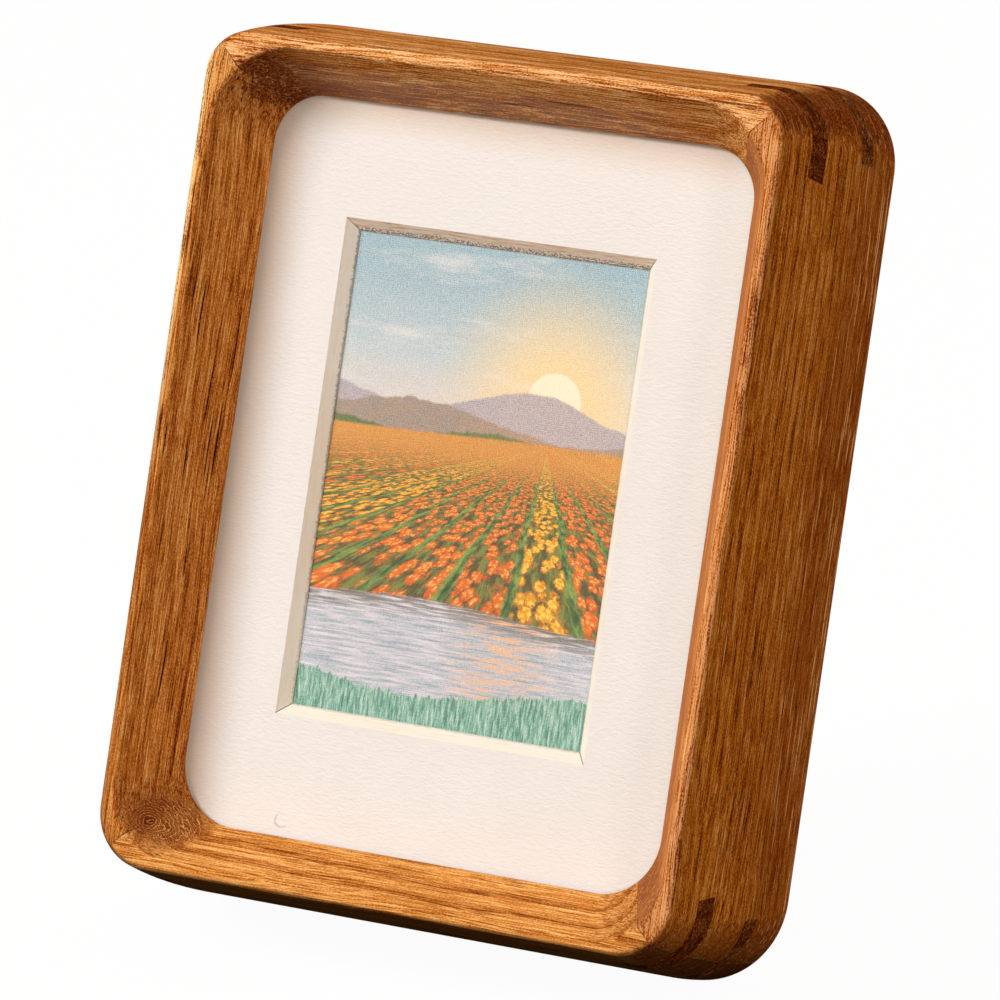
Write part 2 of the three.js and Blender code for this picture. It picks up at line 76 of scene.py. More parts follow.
# Facets of the ring: in a quarter turn of a corner, up the outer side, round an arris, down the
# inner wall, and along a rail
CORNER_STEPS, SIDE_STEPS, ARRIS_STEPS, WALL_STEPS, LENGTH_STEPS = 28, 14, 7, 8, 40
SMOOTH_ANGLE = 32  # degrees; edges between faces that meet at more than this stay sharp

# The frame is drawn lying on its back and stood up by this matrix. The glazing's middle ties the
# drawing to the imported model.
GLAZING, LAY, MAT = 0.5, 0.15, 2
GLAZING_MIDDLE = rebate_floor - LAY - GLAZING / 2
MAT_TOP = GLAZING_MIDDLE - GLAZING / 2 - LAY
MAT_FOOT = MAT_TOP - MAT
WINDOW_WIDTH, WINDOW_HEIGHT = 56.1, 83  # at the mat's back
WINDOW_SHIFT, WINDOW_RISE = -0.6, 0.35
glazing_low, glazing_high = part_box("glazing")
upright = Matrix.Rotation(math.pi / 2 - LEAN, 4, "X")
offset = (glazing_low + glazing_high) / 2 - upright @ Vector((0, 0, GLAZING_MIDDLE * MM))
STAND = Matrix.Translation(offset) @ upright

# --- Camera -------------------------------------------------------------------------------------

CAMERA_PLACE = (0.5808, -1.0855, 0.3787)  # from the middle of the front, in metres
CAMERA_LOOK = (-0.44285, 0.84646, -0.29561)
SENSOR, LENS = 36, 272.4

front_middle = STAND @ Vector((0, 0, DEPTH * MM))
camera_data = bpy.data.cameras.new("camera")
camera = bpy.data.objects.new("camera", camera_data)
bpy.context.scene.collection.objects.link(camera)
bpy.context.scene.camera = camera
camera.location = front_middle + Vector(CAMERA_PLACE)
camera.rotation_mode = "QUATERNION"
camera.rotation_quaternion = Vector(CAMERA_LOOK).to_track_quat("-Z", "Y")
camera_data.sensor_width = SENSOR
camera_data.lens = LENS
camera_data.clip_start = 0.01
camera_data.clip_end = 20

# --- Materials ----------------------------------------------------------------------------------


def rgb(code):
    """A linear colour, with its alpha, from the six digits of an sRGB one."""
    parts = [int(code[i : i + 2], 16) / 255 for i in (0, 2, 4)]
    linear = [c / 12.92 if c <= 0.04045 else ((c + 0.055) / 1.055) ** 2.4 for c in parts]
    return (*linear, 1)


class Field:
    """A number that varies over a surface. Arithmetic on it adds Math nodes to its tree."""

    def __init__(self, graph, socket):
        self.graph = graph
        self.socket = socket

    def __add__(self, other):
        return self.graph.math("ADD", self, other)

    def __radd__(self, other):
        return self.graph.math("ADD", other, self)

    def __sub__(self, other):
        return self.graph.math("SUBTRACT", self, other)

    def __rsub__(self, other):
        return self.graph.math("SUBTRACT", other, self)

    def __mul__(self, other):
        return self.graph.math("MULTIPLY", self, other)

    def __rmul__(self, other):
        return self.graph.math("MULTIPLY", other, self)

    def __truediv__(self, other):
        return self.graph.math("DIVIDE", self, other)

    def __abs__(self):
        return self.graph.math("ABSOLUTE", self)


class Graph:
    """The nodes of a material or a world, and short calls that add to them."""

    def __init__(self, owner):
        owner.use_nodes = True
        self.tree = owner.node_tree

    def put(self, value, socket):
        """Links a field to a socket, or sets the socket to a plain value."""
        value = getattr(value, "socket", value)
        if isinstance(value, bpy.types.NodeSocket):
            self.tree.links.new(value, socket)
        else:
            socket.default_value = value

    def add(self, kind, inputs, **settings):
        """Adds a node, with its inputs and settings by name or number."""
        node = self.tree.nodes.new("ShaderNode" + kind)
        for key, value in settings.items():
            setattr(node, key, value)
        for key, value in dict(inputs).items():
            self.put(value, node.inputs[key])
        return node

    def node(self, kind, inputs=(), output=0, **settings):
        """Adds a node and gives one of its outputs."""
        return Field(self, self.add(kind, inputs, **settings).outputs[output])

    def outputs(self, kind, names, inputs=()):
        """Adds a node and gives the outputs with these names."""
        node = self.add(kind, inputs)
        return [Field(self, node.outputs[name]) for name in names]

    def shown_directly(self):
        """1 for the rays that show the surroundings: straight, in a mirror and through glass."""
        rays = ("Is Camera Ray", "Is Glossy Ray", "Is Transmission Ray")
        camera, glossy, transmission = self.outputs("LightPath", rays)
        return self.math("MAXIMUM", self.math("MAXIMUM", camera, glossy), transmission)

    def math(self, operation, *values):
        return self.node("Math", enumerate(values), operation=operation)

    def vector(self, operation, *values, output=0):
        return self.node("VectorMath", enumerate(values), output, operation=operation)

    def stretch(self, vector, along, across):
        """Coordinates divided by the sizes that a pattern is to have along the first axis and
        across it."""
        return self.vector("MULTIPLY", vector, (1 / along, 1 / across, 1 / across))

    def noise(self, vector, detail=2, roughness=0.5, output="Fac"):
        sockets = {"Vector": vector, "Scale": 1, "Detail": detail, "Roughness": roughness}
        return self.node("TexNoise", sockets, output)

    def cells(self, vector):
        """Distance to the nearest of scattered points."""
        return self.node("TexVoronoi", {"Vector": vector, "Scale": 1}, "Distance")

    def step(self, value, start, end, to_low=0, to_high=1):
        """A smooth step from to_low at start to to_high at end."""
        names = ("Value", "From Min", "From Max", "To Min", "To Max")
        inputs = dict(zip(names, (value, start, end, to_low, to_high)))
        return self.node("MapRange", inputs, interpolation_type="SMOOTHSTEP")

    def mix(self, share, first, second, blend="MIX"):
        sockets = {0: share, 6: first, 7: second}  # a Mix node's factor and its two colours
        return self.node("Mix", sockets, 2, data_type="RGBA", blend_type=blend)

    def ramp(self, value, *stops):
        """Colour stops as (place, colour code) pairs."""
        node = self.tree.nodes.new("ShaderNodeValToRGB")
        elements = node.color_ramp.elements
        while len(elements) < len(stops):
            elements.new(0.5)
        for element, (place, code) in zip(elements, stops):
            element.position = place
            element.color = rgb(code)
        self.put(value, node.inputs[0])
        return Field(self, node.outputs[0])

    def parts(self, vector):
        return self.outputs("SeparateXYZ", "XYZ", {0: vector})

    def centred(self, colour):
        """A noise's colour as a vector that points anywhere from the origin."""
        return self.vector("SUBTRACT", colour, (0.5, 0.5, 0.5))

    def scaled(self, vector, factor):
        return self.node("VectorMath", {0: vector, "Scale": factor}, operation="SCALE")

    def place_mm(self, matrix):
        """Millimetres in the frame that the matrix sets up. They stay with a piece that moves."""
        inputs = {"Vector": self.node("TexCoord", output="Object"), "Location": matrix.translation}
        inputs["Rotation"] = matrix.to_euler()
        return self.scaled(self.node("Mapping", inputs, vector_type="TEXTURE"), 1 / MM)

    def drawing_mm(self):
        """The drawing's coordinates in millimetres: across, up the frame, out of its front."""
        return self.place_mm(STAND)

    def facing(self, direction):
        """How far the surface faces a direction, from -1 to 1."""
        normal = self.node("TexCoord", output="Normal")
        return self.vector("DOT_PRODUCT", normal, tuple(direction), output="Value")


class Surface(Graph):
    """A material and its principled shader. Lengths in it are millimetres."""

    def __init__(self, name, **principled):
        self.material = bpy.data.materials.new(name)
        super().__init__(self.material)
        self.shader = self.tree.nodes["Principled BSDF"]
        self.set(**principled)

    def set(self, **principled):
        for key, value in principled.items():
            self.put(value, self.shader.inputs[key.replace("_", " ")])

    def bump(self, height, distance, strength=1.0):
        """distance is the height of a full step, in millimetres."""
        sockets = {"Height": height, "Distance": distance * MM, "Strength": strength}
        self.put(self.node("Bump", sockets), self.shader.inputs["Normal"])


RING = 2.3  # from one growth ring to the next
SEED_SHIFT = 37  # along the grain, from one seed's pattern to the next one's
TURNOVER = 4  # on both sides of a piece's middle, where the values of its ends change over
# An open pore's colour, then a filled pore's on side grain and on end grain, which is partly a
# painted glint
PORE, PORE_FILL_AND_GLINT, END_FILL_AND_GLINT = "34100a", "fcb873", "d27f3a"
END_STOPS = ((0.34, "2c0a02"), (0.5, "722b09"), (0.68, "bc621e"))
END_SHADE, END_CURLS, END_ARCS = "2c1005", "c8935c", "b87c46"
# The first is the colour of a painted highlight on the front's outer edge, the second glue's.
EDGE_HIGHLIGHT, GLUE = "ffce88", "321204"


class Wood(Surface):
    """Oiled hardwood with its grain along the matrix's X, its outer face to the matrix's Y and its
    front at the height DEPTH. Its colour is laid on in layers, each a method below. A share says
    how strong a layer is, a code is its colour, and a start and an end are where along the rail
    it grows from none to full."""

    UNDER_PORES = ("wall_sheen", "deep_shade", "back", "rim_shade", "front_highlight")
    OVER_PORES = ("foot", "veins", "edge_highlight", "mitre", "eye")

    def __init__(self, name, matrix, seed, streak):
        """The fields that the layers share: places, faces, noises, and the tone of the grain."""
        super().__init__(name, Specular_IOR_Level=0.0)
        here = self.place_mm(matrix)
        self.along, self.out, self.height = self.parts(here)
        self.place = self.vector("ADD", here, (SEED_SHIFT * seed, 0, 0))
        wander = self.centred(self.noise(self.stretch(self.place, 60, 30), 2, output="Color"))
        wander = self.vector("MULTIPLY", wander, (0, 4.2, 4.2))
        self.wavy = self.vector("ADD", self.place, wander)

        # How far the face looks outward, and whether it is an outer or an inner one
        axes = matrix.to_3x3().normalized()
        self.outward = self.facing(axes.col[1])
        self.outer = self.step(self.outward, -0.15, 0.15)
        self.inner = self.step(self.outward, -0.2, -0.6)
        # How far it turns round a corner, where it cuts the grain
        self.ragged = self.noise(self.stretch(self.place, 3.2, 0.8), 3, 0.6) - 0.5
        self.turned = abs(self.facing(axes.col[0])) * (1 + 1.6 * self.ragged)

        self.broad = self.noise(self.stretch(self.wavy, 60, 8), 2)
        self.patches = self.noise(self.stretch(self.place, 40, 6), 1)
        self.streaks = self.noise(self.stretch(self.wavy, 18, 0.45), 3, 0.6)
        self.fibres = self.noise(self.stretch(self.wavy, 9, 0.2), 2, 0.7)
        self.speckle = self.noise(self.stretch(self.place, 2.4, 0.24), 3, 0.7)
        self.curl = self.noise(self.stretch(self.wavy, 1.7, 0.9), 1)
        self.grit = self.noise(self.stretch(self.place, 0.4, 0.2), 1)
        tone = 0.5 + 0.45 * (self.broad - 0.5) + streak * (self.streaks - 0.5)
        self.tone = tone + 2.0 * (self.fibres - 0.5) + (self.grit - 0.5)

    def tint(self, share, code):
        """Lays a colour over the wood's own, as strongly as the share says."""
        self.colour = self.mix(share, self.colour, rgb(code))

    def along_range(self, start, end):
        """Grows from 0 to 1 between two places along the rail, unevenly."""
        return self.step(self.along + 20 * (self.broad - 0.5), start, end)

    def grain(self, colours, pith, late):
        """The ground: growth rings round the tree's heart darken the tone, which picks a colour."""
        from_pith = self.vector("SUBTRACT", self.wavy, (0, *pith))
        from_pith = self.vector("MULTIPLY", from_pith, (0, 1, 1))
        rings = self.vector("LENGTH", from_pith, output="Value") / RING
        sway = 0.6 * self.noise(self.stretch(self.wavy, 60, 7), 1)
        rings = self.math("FRACT", rings + sway)
        late_wood = self.step(rings, 0.35, 0.93) - self.step(rings, 0.95, 1.0)
        self.colour = self.ramp(self.tone - late * (late_wood - 0.4), *colours)

    def wall_sheen(self, share, code, full, start, end):
        """A painted sheen on the inner wall, a veil of reflected light, full from this depth on."""
        top, foot = DEPTH - 0.2 * full, DEPTH - full
        sunk = self.step(self.height + 0.4 * full * (self.streaks - 0.5), top, foot)
        sunk = sunk * self.along_range(start, end)
        self.tint(self.inner * sunk * share * self.step(self.tone, 0.75, 0.35), code)

    def deep_shade(self, share, code, top, foot):
        """A painted shade on the inner wall, which grows between these depths."""
        below = self.step(self.height + 1.5 * (self.streaks - 0.5), DEPTH - top, DEPTH - foot)
        self.tint(self.inner * below * share, code)

    def back(self, share, code):
        """A tint towards the back of the outer face."""
        behind = self.outer * self.step(self.height + 12 * (self.streaks - 0.5), 20, 10)
        self.tint(behind * share, code)

    def rim_shade(self, share, code):
        """A painted shade in a strip on the outer face beside the front."""
        strip = self.step(self.height + 2 * (self.streaks - 0.5), DEPTH - 3, DEPTH - 1.8)
        self.tint(self.outer * strip * share, code)

    def front_highlight(self, share, code, start, end):
        """A painted highlight: a paler layer at the front, where the light falls."""
        front = self.step(self.height + 0.5 * (self.streaks - 0.5), DEPTH - 0.6, DEPTH - 0.2)
        front = front * self.along_range(start, end) * self.step(self.tone, 0.36, 0.7)
        self.tint(front * share, code)

    def pores(self, dark, light):
        """Pores, dark where they are open and light where the finish fills them, and broken by
        beads. The filled ones, partly painted glints of light, show most towards the back of the
        outer face."""
        wavy, patches = self.wavy, self.patches
        beads = self.step(self.noise(self.stretch(self.place, 0.8, 0.5), 1), 0.3, 0.38)
        long_pores = self.step(self.cells(self.stretch(wavy, 40, 0.9)), 0.21, 0.15)
        long_pores = long_pores * self.step(patches, 0.43, 0.47) * beads
        short_pores = self.step(self.cells(self.stretch(wavy, 6, 0.5)), 0.26, 0.14)
        short_pores = short_pores * self.step(patches, 0.62, 0.4)
        self.pore = self.math("MAXIMUM", long_pores * dark, 0.4 * short_pores)
        self.tint(self.pore, PORE)
        rear = self.step(self.height + 8 * (patches - 0.5), 13, 5)
        rear = rear * self.step(self.outward, 0.2, 0.6)
        lines = self.step(self.cells(self.stretch(wavy, 24, 0.7)) - 0.1 * rear, 0.24, 0.12)
        dashes = self.step(self.cells(self.stretch(wavy, 5, 0.45)), 0.24, 0.1) * 0.6
        filled_and_glinting = self.math("MAXIMUM", lines, dashes) * (0.25 + 0.75 * beads)
        filled_and_glinting = filled_and_glinting * self.math("MAXIMUM", self.step(patches, 0.7, 0.4), rear)
        self.filled_and_glinting = filled_and_glinting * light
        self.tint(self.filled_and_glinting, PORE_FILL_AND_GLINT)

    def end_grain(self, ends, spread, fade):
        """End grain, as far as the face is turned: darker, with short streaks, fine light curls
        and lines that follow the round."""
        cove = self.step(self.along, -TURNOVER, TURNOVER, ends[2], ends[3])
        cove = cove * self.step(self.turned, 0, 0.34)
        corner = self.step(self.along, -TURNOVER, TURNOVER, ends[0], ends[1])
        corner = corner * self.step(self.turned, 0.04, 0.46)
        self.cut = cove + self.outer * (corner - cove)
        if spread:  # over the mitre in the cove at the +X end
            swell = self.math("SINE", (DEPTH - self.height) * (math.pi / WALL_DEPTH))
            over = self.step(self.turned + 0.3 * swell, 0.68, 0.74)
            over = over * self.step(self.along, -TURNOVER, TURNOVER) * self.inner
            self.cut = self.math("MAXIMUM", self.cut, spread * over)
        if fade:  # down the inner wall
            share, start, end = fade
            uneven = self.along + 14 * (self.broad - 0.5) + 5 * self.ragged
            fading = self.inner * share * self.step(uneven, start, end)
            self.cut = self.math("MAXIMUM", self.cut, fading)

        uncut = self.colour
        self.colour = self.ramp(self.speckle, *END_STOPS)
        self.tint(self.inner * 0.4, END_SHADE)
        curls = self.step(abs(self.curl - 0.5), 0.04, 0.014) * self.step(self.grit, 0.4, 0.55)
        curls = curls * self.step(self.turned, 0.1, 0.4) * self.inner
        self.tint(curls * 0.7, END_CURLS)
        arcs = self.noise(self.vector("MULTIPLY", self.wavy, (0.22, 0.22, 2.4)), 2, 0.7)
        self.tint(self.step(arcs, 0.53, 0.64) * self.outer * 0.6, END_ARCS)
        self.tint(self.filled_and_glinting, END_FILL_AND_GLINT)
        self.colour = self.mix(self.cut, uncut, self.colour)

    def foot(self, share, code, start, end):
        """A painted shade on the outer face, which grows from start to end as the face turns down.
        """
        down = self.facing(upright @ Vector((0, -1, 0)))
        self.tint(self.outer * share * self.step(down, start, end), code)

    def veins(self, share, code):
        """Wavy lines."""
        self.tint(share * self.step(abs(self.curl - 0.5), 0.1, 0.05), code)

    def edge_highlight(self, share, edge, start, end):
        """A painted highlight on the front's outer edge, which lies so far out."""
        wear_and_highlight = self.step(self.out + 0.8 * (self.fibres - 0.5), edge - 1.1, edge - 0.7)
        wear_and_highlight = wear_and_highlight * self.step(self.outward, 0.9, 0.6) * self.along_range(start, end)
        wear_and_highlight = wear_and_highlight * self.step(self.height, DEPTH - 3, DEPTH - 2)
        self.tint(wear_and_highlight * self.step(self.tone, 0.25, 0.5) * share, EDGE_HIGHLIGHT)

    def mitre(self, share, meeting):
        """The glue line of the mitre, which meets the piece's Y axis here."""
        glue = self.step(abs(abs(self.along) - self.out + meeting), 0.24, 0.1)
        glue = glue * self.step(self.grit, 0.25, 0.4)
        glue = glue * self.step(self.height, DEPTH - 3, DEPTH - 1) * (1 - self.outer)
        self.tint(share * glue, GLUE)

    def eye(self, *middle):
        """A ringed eye at this place in the drawing. Its right half has rays across its rings."""
        drawn = self.drawing_mm()
        sway = self.centred(self.noise(self.stretch(drawn, 2.2, 2.2), 2, output="Color"))
        from_eye = self.vector("ADD", drawn, self.scaled(sway, 1.8))
        from_eye = self.vector("SUBTRACT", from_eye, middle)
        oval = self.vector("MULTIPLY", from_eye, (0.8, 1.25, 0.9))
        away = self.vector("LENGTH", oval, output="Value")
        across, up, _ = self.parts(from_eye)
        rings = self.math("SINE", 13 * self.math("POWER", away, 0.85))
        rings = self.step(rings, 0.6, 1.0) * self.step(self.grit, 0.35, 0.55)
        rays = self.math("SINE", 15 * (0.8 * across + up) + 4 * self.parts(sway)[2])
        rays = self.step(rays, 0.6, 1.0) * self.step(across, 0.4, 1.8)
        rays = rays * self.step(self.grit, 0.3, 0.5)

        reach = self.vector("SUBTRACT", from_eye, (2.2, 0.4, -2))
        reach = self.vector("MULTIPLY", reach, (0.8, 1.3, 0.8))
        reach = self.vector("LENGTH", reach, output="Value")
        near = self.step(reach + 3 * self.ragged, 7, 3.5)
        ground = self.ramp(self.speckle, (0.36, "6a2a0c"), (0.66, "b4662a"))
        self.colour = self.mix(near * 0.6, self.colour, ground)
        self.tint(near * 0.6, "5e240c")
        self.tint(near * self.step(away, 1.5, 0.5) * 0.8, "53180a")
        self.tint(near * (0.6 * rings + 0.6 * rays), "eda860")

    def lay(self, names, layers):
        """Lays on those of the named layers that are given."""
        for name in names:
            if name in layers:
                getattr(self, name)(*layers[name])


def wood(
    name, matrix, colours, seed, pith, ends,
    pores=1.0, flecks=0.5, late=0.16, streak=0.9, spread=0, fade=None, **layers
):
    """Wood in its full finish.
    colours - those of its grain, from dark to light, as stops of a ramp,
    pith - where the tree's heart lies, across and through the piece,
    ends - how dark the end grain is: on the outer corners at the -X and the +X end, then in the
    coves at the -X and the +X end,
    pores, flecks - how strong the dark open pores and the light filled ones, partly painted glints,
    are, late, streak - how strong the growth rings and the streaks are,
    spread - how dark the end grain is that reaches over the mitre in the cove at the +X end,
    fade - how much the inner wall darkens, and between which places along the rail,
    layers - what other layers take, by their names."""
    w = Wood(name, matrix, seed, streak)
    w.grain(colours, pith, late)
    w.lay(w.UNDER_PORES, layers)
    w.pores(pores, flecks)
    w.end_grain(ends, spread, fade)
    w.lay(w.OVER_PORES, layers)
    w.set(Base_Color=w.colour, Roughness=w.step(w.tone, 0.2, 0.8, 0.7, 0.55))
    w.bump(0.5 * w.streaks + 0.7 * w.fibres - 1.1 * w.pore + 0.25 * w.cut * w.speckle, 0.08, 0.8)
    return w.material


def quarter_turn(quarter):
    """The frame of a rail, from the top one round by quarter turns: X along it and Y outward."""
    return STAND @ Matrix.Rotation(quarter * math.pi / 2, 4, "Z")


def stops(places, *codes):
    """Stops for a ramp, as (place, colour code) pairs."""
    return tuple(zip(places, codes))


RAIL_PLACES = (0.08, 0.32, 0.54, 0.76, 0.96)
TOP_STOPS = stops(RAIL_PLACES, "6a2c04", "a8581a", "d2853a", "e8a862", "f8d09c")
LEFT_STOPS = stops(RAIL_PLACES, "5c2408", "9b511b", "c0712a", "d68f48", "e8b36e")
BOTTOM_STOPS = stops(RAIL_PLACES, "743810", "b06428", "d4893e", "e4a257", "f4be78")
RIGHT_STOPS = stops(RAIL_PLACES, "4e1d08", "904210", "c26a17", "d4842c", "ecb068")
KEY_PLACES = (0.1, 0.4, 0.7, 0.95)
KEY_STOPS = {
    "front": stops(KEY_PLACES, "300e03", "6a2a0a", "944a1a", "bc7c40"),
    "back": stops(KEY_PLACES, "381204", "6c2e0c", "965222", "c08650"),
}
KEY_SEED, KEY_PITH = 5, (60, 30)
KEY_LOOK = {"ends": (0.5, 0.5, 0, 0), "pores": 0.2, "flecks": 0.15, "veins": (0.55, "220902")}

EYE = (-47.5, -65, 33.7)  # across, up and out of the front
CREASE, CREASE_RADIUS = (-26.2, -61.2, 0), 1.5

WHOLE = (-90, -89)  # a range along a rail that grows before the rail starts
# The two mitres of the upper or the lower rail meet this far from the frame's middle, on the
# rail's own side of it. Those of a side rail meet as far beyond it.
MEETING = (HEIGHT - WIDTH) / 2
# Of each rail: its colours, its pith, how dark its ends are, and the rest that wood() takes. The
# layers among these are the methods of Wood.
# The foot layer paints shade on the outer faces that turn down.
RAIL_LOOKS = {
    "top": (TOP_STOPS, (150, 10), (0.8, 0.95, 0.95, 0.0), {
        "pores": 0.8, "flecks": 0.2, "front_highlight": (0.5, "f6c48e", *WHOLE),
        "wall_sheen": (0.78, "9a7468", 7, 42, 20), "fade": (0.75, -26, -46), "mitre": (0.75, MEETING),
    }),
    "left": (LEFT_STOPS, (140, 60), (0.5, 0.5, 0.35, 0.3), {
        "pores": 1.0, "flecks": 0.15, "front_highlight": (0.5, "f8ba70", 20, 66),
        "edge_highlight": (0.8, WIDTH / 2 - TAPER, -20, 35), "rim_shade": (0.35, "5a2410"),
        "spread": 0.9, "mitre": (0.75, -MEETING), "eye": EYE,
    }),
    "bottom": (BOTTOM_STOPS, (120, -40), (0.8, 0.6, 0.3, 0.35), {
        "pores": 0.5, "flecks": 0.5, "late": 0.3, "streak": 1.2, "foot": (0.6, "2c1205", 0.05, 0.4),
        "mitre": (0.5, MEETING), "eye": EYE,
    }),
    "right": (RIGHT_STOPS, (90, 120), (0.95, 0.6, 0.15, 0.5), {
        "pores": 0.15, "flecks": 0.9, "streak": 0.5, "front_highlight": (0.75, "e0a26e", *WHOLE),
        "wall_sheen": (0.6, "be866a", 1.5, *WHOLE), "deep_shade": (0.42, "95552b", 4, 6),
        "back": (0.4, "8a3a14"), "rim_shade": (0.15, "642c08"), "foot": (0.6, "2c1205", 0.4, 0.9),
        "mitre": (0.4, -MEETING),
    }),
}
rail_woods = {
    side: wood(f"wood_{side}", quarter_turn(quarter), colours, quarter + 1, pith, ends, **more)
    for quarter, (side, (colours, pith, ends, more)) in enumerate(RAIL_LOOKS.items())
}


def mat_material():
    """Matt paper over a cream core, which shows at the window's bevel."""
    g = Surface("mat_board", Roughness=0.92, Specular_IOR_Level=0.15)
    place = g.drawing_mm()
    x, y, height = g.parts(place)
    face = g.step(g.facing(upright @ Vector((0, 0, 1))), 0.8, 0.9)
    tooth = g.noise(g.stretch(place, 1.4, 0.6), 3, 0.65)
    grain = g.noise(g.stretch(place, 0.35, 0.3), 2, 0.6)
    cloud = g.noise(g.stretch(place, 22, 16), 2)
    paper_colour = g.mix(0.45 * tooth + 0.15 * grain + 0.4 * cloud, rgb("eee6df"), rgb("faf6f3"))
    # Painted warm shade, as light thrown back by the wood, lies along the paper's left and upper
    # edge; the right edge has painted light.
    half_width, half_height = WIDTH / 2 - sight_inset, HEIGHT / 2 - sight_inset
    to_side = g.math("MINIMUM", half_width + x, half_height - y)
    warm_shade = g.step(to_side + 2 * (cloud - 0.5), 8, 0)
    paper_colour = g.mix(0.6 * warm_shade, paper_colour, rgb("efd3ba"))
    paper_colour = g.mix(g.step(half_width - x, 7, 0.5), paper_colour, rgb("fffbf4"))
    # A short crease by the lower left corner
    around = g.vector("MULTIPLY", g.vector("SUBTRACT", place, CREASE), (1, 1, 0))
    bent = 1.7 * (g.noise(g.stretch(place, 1.8, 1.8), 2) - 0.5)
    crease = g.vector("LENGTH", around, output="Value") + bent
    lower_left = g.step(x + y, sum(CREASE) + 0.3, sum(CREASE) - 0.8)
    crease = g.step(abs(crease - CREASE_RADIUS), 0.13, 0.04) * lower_left

    # The bevel: layers of pulp, a painted shadow along its torn foot and a dark line in each mitre
    layers = g.noise(g.vector("MULTIPLY", place, (0.16, 0.16, 4.2)), 3, 0.7)
    fuzz = g.noise(g.stretch(place, 0.25, 0.25), 3, 0.75)
    core = g.ramp(0.65 * layers + 0.35 * fuzz, (0.3, "fbe7cb"), (0.5, "fff6e6"), (0.66, "fffcf6"))
    ragged = height + 1.3 * (fuzz - 0.5) + 0.5 * (tooth - 0.5)
    torn_foot_shadow = g.step(ragged, MAT_FOOT + 0.32, MAT_FOOT + 0.1)
    core = g.mix((0.35 + 0.35 * g.step(y - x, -10, 20)) * torn_foot_shadow, core, rgb("6a5f4e"))
    beside = abs(x - WINDOW_SHIFT) - WINDOW_WIDTH / 2
    beyond = abs(y - WINDOW_RISE) - WINDOW_HEIGHT / 2
    mitre = g.step(abs(beside - beyond), 0.16, 0.06) * g.step(tooth, 0.3, 0.5)
    core = g.mix(0.75 * mitre, core, rgb("6d5232"))
    # The upper bevel faces down: painted shade, browner with dark layers, and crumbs of pulp at its
    # foot
    overhead = g.step(beyond - beside, -0.1, 0.1) * g.step(y, 0, 1)
    core = g.mix(0.75 * overhead * g.step(layers, 0.6, 0.4, 0.4, 1), core, rgb("f8c8a0"))
    core = g.mix(0.35 * overhead * g.step(layers, 0.46, 0.4), core, rgb("7c5c44"))
    speck = g.noise(g.stretch(place, 0.4, 0.26), 1, 0.8)
    crumbs = overhead * g.step(height + fuzz - 0.5, MAT_FOOT + 0.95, MAT_FOOT + 0.6)
    core = g.mix(0.85 * crumbs * g.step(speck, 0.52, 0.44), core, rgb("6e665c"))
    core = g.mix(0.7 * crumbs * g.step(speck, 0.56, 0.62), core, rgb("fffaf4"))
    colour = g.mix(face, core, g.mix(0.22 * crease, paper_colour, rgb("b79a80")))
    g.set(Base_Color=colour)
    relief = (1.3 * tooth + 0.5 * grain - crease) * face + (1 - face) * (layers + fuzz - mitre)
    g.bump(relief, 0.14, 1.0)
    return g.material


